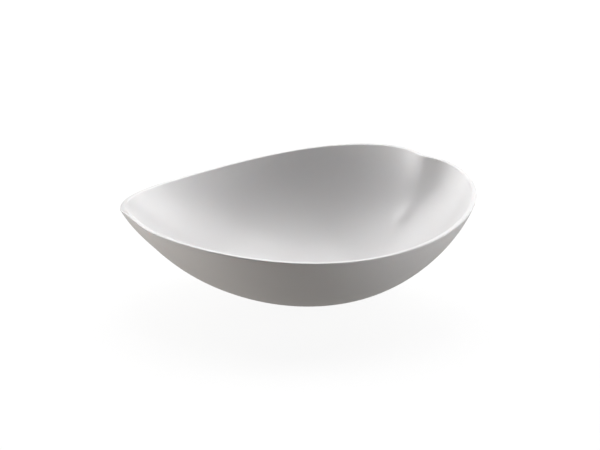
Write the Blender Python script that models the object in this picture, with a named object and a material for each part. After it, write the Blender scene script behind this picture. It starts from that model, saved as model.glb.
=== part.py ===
"""Evaporating dish: one thin, hand-formed porcelain bowl with a pouring tip and a thumb dent.

Metres, +Z up. The origin is the centre of the flat resting face. The pouring tip points along -X.
Angles go round +Z and start at +X, where the thumb dent is. The left of the dent is towards +Y.
A section of the dish is a list of (radius, height) pairs in the upright plane at one angle.
"""

import math

import bmesh
import bpy

# Rim outline, seen from above: a circle that is carried towards the tip and drawn out there.
RIM_RADIUS = 0.07205
RIM_SHIFT = 0.0075
RIM_POINT = 0.0010
RIM_SQUARE = 0.0007

# Rim height: it sweeps up at the dent and at the tip, and dips at the two sides.
RIM_HEIGHT = 0.04007
RIM_TILT = 0.0053
RIM_SWEEP = 0.0038
RIM_SWEEP_SKEW = 0.0005
TIP_LIFT = 0.0021
TIP_ANGLE = math.radians(167)
TIP_HALF_ANGLE = math.radians(10)

# Wall section: outside and inside are two conic arcs that start level and end at the rim.
# A knee is where the arc's two end tangents meet, as a share of the way out.
BASE_RADIUS = 0.015
OUTER_KNEE = 0.677
OUTER_WEIGHT = 0.633
FLOOR_RADIUS = 0.003
FLOOR_HEIGHT = 0.0026
INNER_KNEE = 0.66
INNER_WEIGHT = 0.85
RIM_THICKNESS = 0.0020

# The rim is cut level, with a tight outer edge and a softer inner one.
OUTER_EDGE_RADIUS = 0.00035
INNER_EDGE_RADIUS = 0.0008

# Thumb dent, pressed in from outside: a fold that is deepest at the rim and fades out below.
# Its crest leans to the right on the way down, and its left flank is the broader one.
DENT_DEPTH = 0.0040
DENT_ANGLE = math.radians(-2.5)
DENT_LEAN = math.radians(4.5)
DENT_LEFT = 0.0071
DENT_RIGHT = 0.0041
DENT_END = 0.6
DENT_END_FADE = 0.2
DENT_CREST_ROUNDING = 1.8

# Knuckle: the mark of the thumb's end, a short slanting ridge inside the bowl.
KNUCKLE_DEPTH = 0.0006
KNUCKLE_ANGLE = math.radians(-5.3)
KNUCKLE_SHARE = 0.51
KNUCKLE_LEFT = 0.0042
KNUCKLE_RIGHT = 0.0040
KNUCKLE_LENGTH = 0.0042
KNUCKLE_SLANT = math.radians(16)

# Mesh density, and the angle from which an edge is shaded sharp.
COLUMNS = 84
DENT_CROWDING = 0.62
WALL_ROWS = 18
EDGE_ROWS = 3
SHARP_ANGLE = math.radians(40)


def rim_radius(angle):
    """Distance from the Z axis to the outside of the rim."""
    radius = RIM_RADIUS - RIM_SHIFT * math.cos(angle)
    return radius - RIM_POINT * math.cos(3 * angle) - RIM_SQUARE * math.cos(4 * angle)


def rim_height(angle):
    """Height of the rim's outer edge."""
    sweep = RIM_TILT * math.cos(angle) + RIM_SWEEP * math.cos(2 * angle)
    sweep -= RIM_SWEEP_SKEW * math.cos(3 * angle)
    from_tip = math.remainder(angle - TIP_ANGLE, 2 * math.pi)
    return RIM_HEIGHT + sweep + TIP_LIFT * math.exp(-((from_tip / TIP_HALF_ANGLE) ** 2))


def dent_depth(angle, radius, share):
    """How far the dent pushes the wall inwards, at this share of the rim's height."""
    crest = DENT_ANGLE - DENT_LEAN * (1 - share)
    across = math.remainder(angle - crest, 2 * math.pi) * radius
    up = (share - DENT_END) / (1 - DENT_END)
    up = (up + math.hypot(up, DENT_END_FADE)) / 2
    width = DENT_LEFT if across > 0 else DENT_RIGHT
    fall = math.hypot(across / width, DENT_CREST_ROUNDING) - DENT_CREST_ROUNDING
    return DENT_DEPTH * up * math.exp(-fall)


def knuckle_depth(angle, radius, share):
    """How far the knuckle pushes the wall inwards."""
    across = math.remainder(angle - KNUCKLE_ANGLE, 2 * math.pi) * radius
    up = (share - KNUCKLE_SHARE) * rim_height(angle)
    wide = across * math.cos(KNUCKLE_SLANT) + up * math.sin(KNUCKLE_SLANT)
    wide /= KNUCKLE_LEFT if wide > 0 else KNUCKLE_RIGHT
    long = (up * math.cos(KNUCKLE_SLANT) - across * math.sin(KNUCKLE_SLANT)) / KNUCKLE_LENGTH
    return KNUCKLE_DEPTH * math.exp(-(wide**2) - long**2)


def conic(start, end, knee, weight, steps):
    """Points on the conic arc that leaves start level and reaches end."""
    points = []
    for step in range(steps + 1):
        rise = step / steps
        pull = 2 * weight * rise * (1 - rise)
        total = (1 - rise) ** 2 + pull + rise**2
        out = (pull * knee + rise**2) / total
        up = rise**2 / total
        points.append((start[0] + (end[0] - start[0]) * out, start[1] + (end[1] - start[1]) * up))
    return points


def edge_arc(centre, radius, start, end):
    """Points on a round edge between two directions."""
    turns = [start + (end - start) * i / EDGE_ROWS for i in range(EDGE_ROWS + 1)]
    return [(centre[0] + radius * math.cos(t), centre[1] + radius * math.sin(t)) for t in turns]


def rim_edges(angle):
    """The points over the rim, from the outside to the inside."""
    radius, height = rim_radius(angle), rim_height(angle)
    lean = math.atan2(height, (radius - BASE_RADIUS) * (1 - OUTER_KNEE))
    out = radius - OUTER_EDGE_RADIUS * math.sin(lean)
    up = height + OUTER_EDGE_RADIUS * math.cos(lean)
    level = math.pi / 2
    outer = edge_arc((out, up), OUTER_EDGE_RADIUS, lean - level, level)
    up += OUTER_EDGE_RADIUS - INNER_EDGE_RADIUS
    across = RIM_THICKNESS - INNER_EDGE_RADIUS - (up - height) * math.cos(lean)
    out = radius - across / math.sin(lean)
    return outer + edge_arc((out, up), INNER_EDGE_RADIUS, level, level + lean)


def plain_section(angle):
    """The section without its dent: up the outside, over the rim, down the inside."""
    rim = rim_edges(angle)
    outside = conic((BASE_RADIUS, 0), rim[0], OUTER_KNEE, OUTER_WEIGHT, WALL_ROWS)
    inside = conic((FLOOR_RADIUS, FLOOR_HEIGHT), rim[-1], INNER_KNEE, INNER_WEIGHT, WALL_ROWS)
    return outside + rim[1:-1] + inside[::-1]


def section(angle):
    """The points of one section, with the dent pressed in."""
    points = []
    for radius, height in plain_section(angle):
        share = min(height / rim_height(angle), 1)
        pressed = radius - dent_depth(angle, radius, share) - knuckle_depth(angle, radius, share)
        points.append((pressed * math.cos(angle), pressed * math.sin(angle), height))
    return points


def column_angles():
    """Angles of the mesh columns, closest together at the dent."""
    turns = [2 * math.pi * i / COLUMNS for i in range(COLUMNS)]
    return [DENT_ANGLE + turn - DENT_CROWDING * math.sin(turn) for turn in turns]


def dish_mesh():
    """The closed shell as one mesh."""
    shell = bmesh.new()
    columns = [[shell.verts.new(point) for point in section(angle)] for angle in column_angles()]
    under = shell.verts.new((0, 0, 0))
    floor = shell.verts.new((0, 0, FLOOR_HEIGHT))
    for left, right in zip(columns, columns[1:] + columns[:1]):
        for low in range(len(left) - 1):
            shell.faces.new((left[low], right[low], right[low + 1], left[low + 1]))
        shell.faces.new((under, right[0], left[0]))
        shell.faces.new((floor, left[-1], right[-1]))
    mesh = bpy.data.meshes.new("dish_body")
    shell.to_mesh(mesh)
    shell.free()
    mesh.shade_smooth()
    mesh.set_sharp_from_angle(angle=SHARP_ANGLE)
    return mesh


def porcelain():
    """White glazed porcelain."""
    material = bpy.data.materials.new("glazed porcelain")
    material.use_nodes = True
    shader = material.node_tree.nodes["Principled BSDF"]
    shader.inputs["Base Color"].default_value = (0.83, 0.82, 0.81, 1)
    shader.inputs["Roughness"].default_value = 0.15
    shader.inputs["Metallic"].default_value = 0
    return material


for old in list(bpy.data.objects):
    bpy.data.objects.remove(old)

dish = bpy.data.objects.new("dish_body", dish_mesh())
dish.data.materials.append(porcelain())
bpy.context.scene.collection.objects.link(dish)
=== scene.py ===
"""Looks of the evaporating dish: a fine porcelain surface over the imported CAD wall, in a soft studio."""

import math

import bmesh
import bpy
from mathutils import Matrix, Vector, noise


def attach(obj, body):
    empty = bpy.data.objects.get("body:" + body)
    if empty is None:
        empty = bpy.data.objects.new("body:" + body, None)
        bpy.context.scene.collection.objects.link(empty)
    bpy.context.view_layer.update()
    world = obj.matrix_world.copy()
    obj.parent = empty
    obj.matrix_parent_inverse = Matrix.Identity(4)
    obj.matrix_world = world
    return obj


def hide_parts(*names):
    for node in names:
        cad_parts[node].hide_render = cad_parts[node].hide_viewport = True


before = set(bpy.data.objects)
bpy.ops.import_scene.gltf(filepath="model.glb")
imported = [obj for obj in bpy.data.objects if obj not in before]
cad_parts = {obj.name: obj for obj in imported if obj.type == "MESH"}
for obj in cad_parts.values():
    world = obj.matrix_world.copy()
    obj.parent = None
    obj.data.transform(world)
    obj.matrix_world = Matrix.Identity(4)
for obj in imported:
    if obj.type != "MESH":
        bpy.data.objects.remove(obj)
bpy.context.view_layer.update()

# The wall repeats the CAD's own dimensions and formulas, in metres, with finer columns and rows.

# Rim outline, seen from above: a circle that is carried towards the tip and drawn out there.
RIM_RADIUS = 0.07205
RIM_SHIFT = 0.0075
RIM_POINT = 0.0010
RIM_SQUARE = 0.0007

# Rim height: it sweeps up at the dent and at the tip, and dips at the two sides.
RIM_HEIGHT = 0.04007
RIM_TILT = 0.0053
RIM_SWEEP = 0.0038
RIM_SWEEP_SKEW = 0.0005
TIP_LIFT = 0.0021
TIP_ANGLE = math.radians(167)
TIP_HALF_ANGLE = math.radians(10)

# Wall section: outside and inside are two conic arcs that start level and end at the rim.
# A knee is where the arc's two end tangents meet, as a share of the way out.
BASE_RADIUS = 0.015
OUTER_KNEE = 0.677
OUTER_WEIGHT = 0.633
FLOOR_RADIUS = 0.003
FLOOR_HEIGHT = 0.0026
INNER_KNEE = 0.66
INNER_WEIGHT = 0.85
RIM_THICKNESS = 0.0020

# The rim is cut level, with a tight outer edge and a softer inner one.
OUTER_EDGE_RADIUS = 0.00035
INNER_EDGE_RADIUS = 0.0008

# Thumb dent, pressed in from outside: a fold that is deepest at the rim and fades out below.
# Its crest leans to the right on the way down, and its left flank is the broader one.
DENT_DEPTH = 0.0040
DENT_ANGLE = math.radians(-2.5)
DENT_LEAN = math.radians(4.5)
DENT_LEFT = 0.0071
DENT_RIGHT = 0.0041
DENT_END = 0.6
DENT_END_FADE = 0.2
DENT_CREST_ROUNDING = 1.8

# Knuckle: the mark of the thumb's end, a short slanting ridge inside the bowl.
KNUCKLE_DEPTH = 0.0006
KNUCKLE_ANGLE = math.radians(-5.3)
KNUCKLE_SHARE = 0.51
KNUCKLE_LEFT = 0.0042
KNUCKLE_RIGHT = 0.0040
KNUCKLE_LENGTH = 0.0042
KNUCKLE_SLANT = math.radians(16)

# Mesh density.
COLUMNS = 420
DENT_CROWDING = 0.5
WALL_ROWS = 84
EDGE_ROWS = 6
BASE_RINGS = 10

# The hand's slow waves in the wall.
WAVE_HEIGHT = 0.00016
WAVES_PER_METRE = 34

# Every noise of the material is given as its bumps to the metre and its level of detail.
# Most of a noise's values lie in NOISE_RANGE.
NOISE_RANGE = (0.3, 0.7)

# Glaze: white, drifting a little in tone and in gloss, with an orange-peel surface.
GLAZE_TONES = ((0.822, 0.810, 0.812, 1), (0.842, 0.830, 0.832, 1))
DRIFT_NOISE = (22, 3)
GLOSS_NOISE = (60, 3)
GLOSS_NOISE_RANGE = (0.25, 0.75)
GLAZE_ROUGHNESS = (0.30, 0.40)
PEEL_NOISE = (620, 2)
PEEL_STRENGTH = 0.25
PEEL_DEPTH = 0.00002
PORCELAIN_FINISH = {
    "Subsurface Weight": 0.08,
    "Subsurface Radius": (1.0, 0.75, 0.6),
    "Subsurface Scale": 0.0012,
    "Coat Weight": 0.12,
    "Coat Roughness": 0.2,
}

# Painted light: the top of the inside is painted whiter, a little unevenly. This fades over its
# reach below the rim, and is full where the surface faces inwards by INSIDE_LEAN.
PAINTED_LIGHT_TONE = (0.900, 0.892, 0.893, 1)
PAINTED_LIGHT_REACH = 0.007
INSIDE_LEAN = 0.6
UNEVEN_NOISE = (160, 4)
UNEVEN_RANGE = (0.75, 1.0)

# Iron specks: a soft dot at the point of a Voronoi cell, in the cells that a very fine noise picks.
# SPECK_EDGE is where a dot begins and ends to fade, in cell widths.
SPECK_TONE = (0.42, 0.36, 0.30, 1)
SPECK_STRENGTH = 0.45
SPECK_EDGE = (0.02, 0.07)
SPECK_CELLS_PER_METRE = 330
SPECK_PICK_NOISE = (5000, 0)
SPECK_PICK_LEVEL = 0.66

# Bare, biscuit-fired patch: the glaze stops short of the resting face's edge, on a wavering line.
BARE_RADIUS = 0.0135
BARE_HEIGHT = 0.0002
BARE_EDGE = 0.0002
BARE_WAVER = 0.0012
WAVER_NOISE = (180, 2)
BISCUIT_TONES = ((0.62, 0.60, 0.56, 1), (0.74, 0.72, 0.68, 1))
BISCUIT_DULLNESS = 0.45
GRAIN_NOISE = (2600, 3)
GRAIN_DEPTH = 0.00006

# Camera. Azimuth 0 looks along +Y. Angles are in degrees, here and for the lights.
VIEW_AZIMUTH = -35.5
VIEW_ELEVATION = 17.2
VIEW_DISTANCE = 0.758
VIEW_CENTRE = Vector((0.00067, 0.00904, 0.02504))
LENS_MM = 108
CLIP_START = 0.01

# Soft boxes around the dish: bearing from straight behind it towards the right, elevation, watts.
SOFTBOX_SIZE = 0.7
SOFTBOX_DISTANCE = 1.2
SOFTBOX_AIM = Vector((0, 0, 0.025))
SOFTBOXES = (
    (0, 90, 1.0),
    (0, 70, 2.7),
    (0, 50, 3.3),
    (0, 30, 3.1),
    (-45, 45, 3.3),
    (45, 45, 3.3),
    (-45, 15, 5.2),
    (45, 15, 2.9),
    (90, 12, 2.0),
    (-90, 3, 2.3),
    (90, 3, 7.1),
    (135, 3, 1.5),
)

# Light that comes up from below the horizon: bearing and strength.
BOUNCE = ((-90, 1.57), (90, 0.25), (0, 0.35))
BOUNCE_TINT = (1.05, 1.0, 0.94)

# Floor: a hair below the resting face. Its glow grows to white between two distances from the dish.
FLOOR_SIZE = 8
FLOOR_DROP = 0.0001
FLOOR_GLOW = (0.9, 1.0)
FLOOR_GLOW_DISTANCES = (0.25, 0.6)
FLOOR_FINISH = {
    "Base Color": (0.14, 0.14, 0.14, 1),
    "Roughness": 1,
    "Specular IOR Level": 0,
    "Emission Color": (1, 1, 1, 1),
}


def rim_radius(angle):
    """Distance from the Z axis to the outside of the rim."""
    radius = RIM_RADIUS - RIM_SHIFT * math.cos(angle)
    return radius - RIM_POINT * math.cos(3 * angle) - RIM_SQUARE * math.cos(4 * angle)


def rim_height(angle):
    """Height of the rim's outer edge."""
    sweep = RIM_TILT * math.cos(angle) + RIM_SWEEP * math.cos(2 * angle)
    sweep -= RIM_SWEEP_SKEW * math.cos(3 * angle)
    from_tip = math.remainder(angle - TIP_ANGLE, 2 * math.pi)
    return RIM_HEIGHT + sweep + TIP_LIFT * math.exp(-((from_tip / TIP_HALF_ANGLE) ** 2))


def dent_depth(angle, radius, share):
    """How far the dent pushes the wall inwards, at this share of the rim's height."""
    crest = DENT_ANGLE - DENT_LEAN * (1 - share)
    across = math.remainder(angle - crest, 2 * math.pi) * radius
    up = (share - DENT_END) / (1 - DENT_END)
    up = (up + math.hypot(up, DENT_END_FADE)) / 2
    width = DENT_LEFT if across > 0 else DENT_RIGHT
    fall = math.hypot(across / width, DENT_CREST_ROUNDING) - DENT_CREST_ROUNDING
    return DENT_DEPTH * up * math.exp(-fall)


def knuckle_depth(angle, radius, share):
    """How far the knuckle pushes the wall inwards."""
    across = math.remainder(angle - KNUCKLE_ANGLE, 2 * math.pi) * radius
    up = (share - KNUCKLE_SHARE) * rim_height(angle)
    wide = across * math.cos(KNUCKLE_SLANT) + up * math.sin(KNUCKLE_SLANT)
    wide /= KNUCKLE_LEFT if wide > 0 else KNUCKLE_RIGHT
    long = (up * math.cos(KNUCKLE_SLANT) - across * math.sin(KNUCKLE_SLANT)) / KNUCKLE_LENGTH
    return KNUCKLE_DEPTH * math.exp(-(wide**2) - long**2)


def conic(start, end, knee, weight, steps):
    """Points on the conic arc that leaves start level and reaches end."""
    points = []
    for step in range(steps + 1):
        rise = step / steps
        pull = 2 * weight * rise * (1 - rise)
        total = (1 - rise) ** 2 + pull + rise**2
        out = (pull * knee + rise**2) / total
        up = rise**2 / total
        points.append((start[0] + (end[0] - start[0]) * out, start[1] + (end[1] - start[1]) * up))
    return points


def edge_arc(centre, radius, start, end):
    """Points on a round edge between two directions."""
    turns = [start + (end - start) * i / EDGE_ROWS for i in range(EDGE_ROWS + 1)]
    return [(centre[0] + radius * math.cos(t), centre[1] + radius * math.sin(t)) for t in turns]


def rim_edges(angle):
    """The points over the rim, from the outside to the inside."""
    radius, height = rim_radius(angle), rim_height(angle)
    lean = math.atan2(height, (radius - BASE_RADIUS) * (1 - OUTER_KNEE))
    out = radius - OUTER_EDGE_RADIUS * math.sin(lean)
    up = height + OUTER_EDGE_RADIUS * math.cos(lean)
    level = math.pi / 2
    outer = edge_arc((out, up), OUTER_EDGE_RADIUS, lean - level, level)
    up += OUTER_EDGE_RADIUS - INNER_EDGE_RADIUS
    across = RIM_THICKNESS - INNER_EDGE_RADIUS - (up - height) * math.cos(lean)
    out = radius - across / math.sin(lean)
    return outer + edge_arc((out, up), INNER_EDGE_RADIUS, level, level + lean)


def plain_section(angle):
    """The section without its dent: up the outside, over the rim, down the inside."""
    rim = rim_edges(angle)
    outside = conic((BASE_RADIUS, 0), rim[0], OUTER_KNEE, OUTER_WEIGHT, WALL_ROWS)
    inside = conic((FLOOR_RADIUS, FLOOR_HEIGHT), rim[-1], INNER_KNEE, INNER_WEIGHT, WALL_ROWS)
    return outside + rim[1:-1] + inside[::-1]


def hand_wave(point):
    """The slow unevenness of a wall formed by hand, the same inside and outside."""
    return WAVE_HEIGHT * noise.noise(point * WAVES_PER_METRE)


def section(angle):
    """One section of the dish: out under the base, around the wall, and in over the floor."""
    points = [(BASE_RADIUS * i / BASE_RINGS, 0) for i in range(1, BASE_RINGS)]
    points += plain_section(angle)
    points += [(FLOOR_RADIUS * i / BASE_RINGS, FLOOR_HEIGHT) for i in range(BASE_RINGS - 1, 0, -1)]
    pressed = []
    for radius, height in points:
        share = min(height / rim_height(angle), 1)
        dented = radius - dent_depth(angle, radius, share) - knuckle_depth(angle, radius, share)
        dented += share * hand_wave(Vector((radius * math.cos(angle), radius * math.sin(angle), height)))
        pressed.append((dented * math.cos(angle), dented * math.sin(angle), height))
    return pressed


def painted_rim_light(vertex):
    """How much painted light whitens the glaze: 1 at the top of the inside, fading down it and over the
    rim.
    """
    below = rim_height(math.atan2(vertex.co.y, vertex.co.x)) - vertex.co.z
    outward = vertex.normal.xy.dot(vertex.co.xy.normalized())
    inner = min(max(-outward / INSIDE_LEAN, 0), 1)
    return inner * math.exp(-max(below, 0) / PAINTED_LIGHT_REACH)


def dish_mesh():
    """The closed shell as one fine mesh."""
    shell = bmesh.new()
    turns = [2 * math.pi * i / COLUMNS for i in range(COLUMNS)]
    angles = [DENT_ANGLE + turn - DENT_CROWDING * math.sin(turn) for turn in turns]
    columns = [[shell.verts.new(point) for point in section(angle)] for angle in angles]
    under = shell.verts.new((0, 0, 0))
    floor = shell.verts.new((0, 0, FLOOR_HEIGHT))
    for left, right in zip(columns, columns[1:] + columns[:1]):
        for low in range(len(left) - 1):
            shell.faces.new((left[low], right[low], right[low + 1], left[low + 1]))
        shell.faces.new((under, right[0], left[0]))
        shell.faces.new((floor, left[-1], right[-1]))
    mesh = bpy.data.meshes.new("dish")
    shell.to_mesh(mesh)
    shell.free()
    mesh.shade_smooth()
    # This attribute is painted light: how much whiter the top of the inside is painted.
    glaze_and_painted_light = mesh.attributes.new("painted_rim_light", "FLOAT", "POINT")
    for place, vertex in zip(glaze_and_painted_light.data, mesh.vertices):
        place.value = painted_rim_light(vertex)
    return mesh


def link_object(name, data):
    """Adds a new object of this data to the scene."""
    thing = bpy.data.objects.new(name, data)
    bpy.context.scene.collection.objects.link(thing)
    return thing


class Nodes:
    """Short forms for building a node tree."""

    # A Mix node has a set of sockets for each kind of value, so its colour sockets go by number.
    MIX_INPUTS = (0, 6, 7)
    MIX_OUTPUT = 2

    def __init__(self, tree):
        self.tree = tree

    def add(self, kind, **settings):
        """A new node. A setting that names no socket is an attribute of the node."""
        node = self.tree.nodes.new(kind)
        for name, value in settings.items():
            socket = name.replace("_", " ").title()
            if socket in node.inputs:
                self.feed(node.inputs[socket], value)
            else:
                setattr(node, name, value)
        return node

    def feed(self, socket, value):
        """Links an output to a socket, or sets its plain value."""
        if isinstance(value, bpy.types.NodeSocket):
            self.tree.links.new(value, socket)
        else:
            socket.default_value = value

    def math(self, operation, *values):
        """The result of a math node."""
        node = self.add("ShaderNodeMath", operation=operation)
        for socket, value in zip(node.inputs, values):
            self.feed(socket, value)
        return node.outputs["Value"]

    def noise(self, place, scale, detail):
        """Noise from 0 to 1 with this many bumps to the metre."""
        node = self.add("ShaderNodeTexNoise", vector=place, scale=scale, detail=detail)
        return node.outputs["Fac"]

    def blend(self, factor, first, second):
        """A mix of two colours."""
        node = self.add("ShaderNodeMix", data_type="RGBA")
        for number, value in zip(self.MIX_INPUTS, (factor, first, second)):
            self.feed(node.inputs[number], value)
        return node.outputs[self.MIX_OUTPUT]

    def span(self, value, low, high, start=0.0, end=1.0):
        """Maps low to high onto start to end, with soft ends."""
        limits = {"from_min": low, "from_max": high, "to_min": start, "to_max": end}
        node = self.add("ShaderNodeMapRange", interpolation_type="SMOOTHSTEP", value=value, **limits)
        return node.outputs["Result"]


def new_material(name, finish):
    """A new material, its shader with these plain values, and the short forms for its nodes."""
    material = bpy.data.materials.new(name)
    material.use_nodes = True
    shader = material.node_tree.nodes["Principled BSDF"]
    for socket, value in finish.items():
        shader.inputs[socket].default_value = value
    return material, shader, Nodes(material.node_tree)


def iron_specks(tree, place):
    """How strongly the fine iron specks show."""
    cells = tree.add("ShaderNodeTexVoronoi", vector=place, scale=SPECK_CELLS_PER_METRE)
    pick = tree.noise(cells.outputs["Position"], *SPECK_PICK_NOISE)
    picked = tree.math("GREATER_THAN", pick, SPECK_PICK_LEVEL)
    dot = tree.span(cells.outputs["Distance"], *SPECK_EDGE, SPECK_STRENGTH, 0.0)
    return tree.math("MULTIPLY", picked, dot)


def glaze_colour(tree, place):
    """The colour of the glaze, with its drift, its top of the inside painted whiter as painted light, and
    its specks.
    """
    drift = tree.span(tree.noise(place, *DRIFT_NOISE), *NOISE_RANGE)
    glaze_and_painted_light = tree.blend(drift, *GLAZE_TONES)
    # Painted light: the top of the inside is blended towards a whiter tone.
    painted_light = tree.add("ShaderNodeAttribute", attribute_name="painted_rim_light").outputs["Fac"]
    uneven = tree.span(tree.noise(place, *UNEVEN_NOISE), *NOISE_RANGE, *UNEVEN_RANGE)
    glaze_and_painted_light = tree.blend(tree.math("MULTIPLY", painted_light, uneven), glaze_and_painted_light, PAINTED_LIGHT_TONE)
    return tree.blend(iron_specks(tree, place), glaze_and_painted_light, SPECK_TONE)


def bare_patch(tree, place):
    """1 on the bare patch under the base, and 0 elsewhere."""
    x, y, height = tree.add("ShaderNodeSeparateXYZ", vector=place).outputs
    squares = tree.math("ADD", tree.math("MULTIPLY", x, x), tree.math("MULTIPLY", y, y))
    waver = tree.math("SUBTRACT", tree.noise(place, *WAVER_NOISE), 0.5)
    waver = tree.math("MULTIPLY", waver, BARE_WAVER)
    radius = tree.math("ADD", tree.math("SQRT", squares), waver)
    within = tree.span(radius, BARE_RADIUS - BARE_EDGE, BARE_RADIUS + BARE_EDGE, 1.0, 0.0)
    return tree.math("MULTIPLY", within, tree.math("LESS_THAN", height, BARE_HEIGHT))


def porcelain():
    """Glazed white porcelain with a bare, biscuit-fired patch under the base."""
    material, shader, tree = new_material("glazed_porcelain", PORCELAIN_FINISH)
    place = tree.add("ShaderNodeTexCoord").outputs["Object"]
    bare = bare_patch(tree, place)
    grain = tree.noise(place, *GRAIN_NOISE)
    biscuit = tree.blend(grain, *BISCUIT_TONES)
    tree.feed(shader.inputs["Base Color"], tree.blend(bare, glaze_colour(tree, place), biscuit))

    satin = tree.span(tree.noise(place, *GLOSS_NOISE), *GLOSS_NOISE_RANGE, *GLAZE_ROUGHNESS)
    dull = tree.math("MULTIPLY", bare, BISCUIT_DULLNESS)
    tree.feed(shader.inputs["Roughness"], tree.math("ADD", satin, dull))

    bumps = tree.noise(place, *PEEL_NOISE)
    peel = tree.add("ShaderNodeBump", strength=PEEL_STRENGTH, distance=PEEL_DEPTH, height=bumps)
    rough = tree.add("ShaderNodeBump", strength=bare, distance=GRAIN_DEPTH, height=grain)
    tree.feed(rough.inputs["Normal"], peel.outputs["Normal"])
    tree.feed(shader.inputs["Normal"], rough.outputs["Normal"])
    return material


def bearing(right, up=0):
    """The direction from the dish straight away from the camera, turned to the right and raised."""
    turn = math.radians(VIEW_AZIMUTH + 90 - right)
    rise = math.radians(up)
    return Vector((math.cos(turn) * math.cos(rise), math.sin(turn) * math.cos(rise), math.sin(rise)))


def place_facing(thing, centre, away, distance):
    """Puts a camera or a light at this distance from the centre, looking back at it."""
    thing.location = centre + away * distance
    thing.rotation_euler = away.to_track_quat("Z", "Y").to_euler()


def make_camera():
    """The camera, in front of the dish and a little above it."""
    data = bpy.data.cameras.new("camera")
    data.lens = LENS_MM
    data.clip_start = CLIP_START
    camera = link_object("camera", data)
    place_facing(camera, VIEW_CENTRE, bearing(180, VIEW_ELEVATION), VIEW_DISTANCE)
    bpy.context.scene.camera = camera


def make_softboxes():
    """Large square lights, all aimed at the dish."""
    for right, up, watts in SOFTBOXES:
        light = bpy.data.lights.new("softbox", "AREA")
        light.shape = "SQUARE"
        light.size = SOFTBOX_SIZE
        light.energy = watts
        box = link_object("softbox", light)
        place_facing(box, SOFTBOX_AIM, bearing(right, up), SOFTBOX_DISTANCE)
        box.visible_camera = False


def make_world():
    """Dark above the horizon. Below it, light bounces up from the left, the right and behind."""
    world = bpy.data.worlds.new("studio")
    world.use_nodes = True
    bpy.context.scene.world = world
    tree = Nodes(world.node_tree)
    toward = tree.add("ShaderNodeTexCoord").outputs["Generated"]
    total = 0.0
    for right, strength in BOUNCE:
        facing = tree.add("ShaderNodeVectorMath", operation="DOT_PRODUCT")
        tree.feed(facing.inputs[0], toward)
        tree.feed(facing.inputs[1], bearing(right))
        share = tree.math("MAXIMUM", facing.outputs["Value"], 0.0)
        lobe = tree.math("MULTIPLY", tree.math("MULTIPLY", share, share), strength)
        total = tree.math("ADD", lobe, total)
    height = tree.add("ShaderNodeSeparateXYZ", vector=toward).outputs["Z"]
    total = tree.math("MULTIPLY", total, tree.math("LESS_THAN", height, 0.0))
    background = world.node_tree.nodes["Background"]
    background.inputs["Color"].default_value = (*BOUNCE_TINT, 1)
    tree.feed(background.inputs["Strength"], total)


def make_floor():
    """A pale floor that takes the dish's shadow, and grows white away from it. It lights nothing."""
    mesh = bpy.data.meshes.new("floor")
    half = FLOOR_SIZE / 2
    corners = [(x * half, y * half, -FLOOR_DROP) for x, y in ((-1, -1), (1, -1), (1, 1), (-1, 1))]
    mesh.from_pydata(corners, [], [(0, 1, 2, 3)])
    floor = link_object("floor", mesh)
    material, shader, tree = new_material("pale_floor", FLOOR_FINISH)
    place = tree.add("ShaderNodeTexCoord").outputs["Object"]
    distance = tree.add("ShaderNodeVectorMath", operation="LENGTH", vector=place).outputs["Value"]
    glow = tree.span(distance, *FLOOR_GLOW_DISTANCES, *FLOOR_GLOW)
    tree.feed(shader.inputs["Emission Strength"], glow)
    mesh.materials.append(material)
    floor.visible_diffuse = False
    floor.visible_glossy = False
    floor.visible_shadow = False


make_camera()
make_softboxes()
make_world()
make_floor()
dish = link_object("porcelain_dish", dish_mesh())
dish.data.materials.append(porcelain())
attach(dish, "root")
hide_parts("dish_body")
bpy.context.scene.view_settings.view_transform = "Standard"
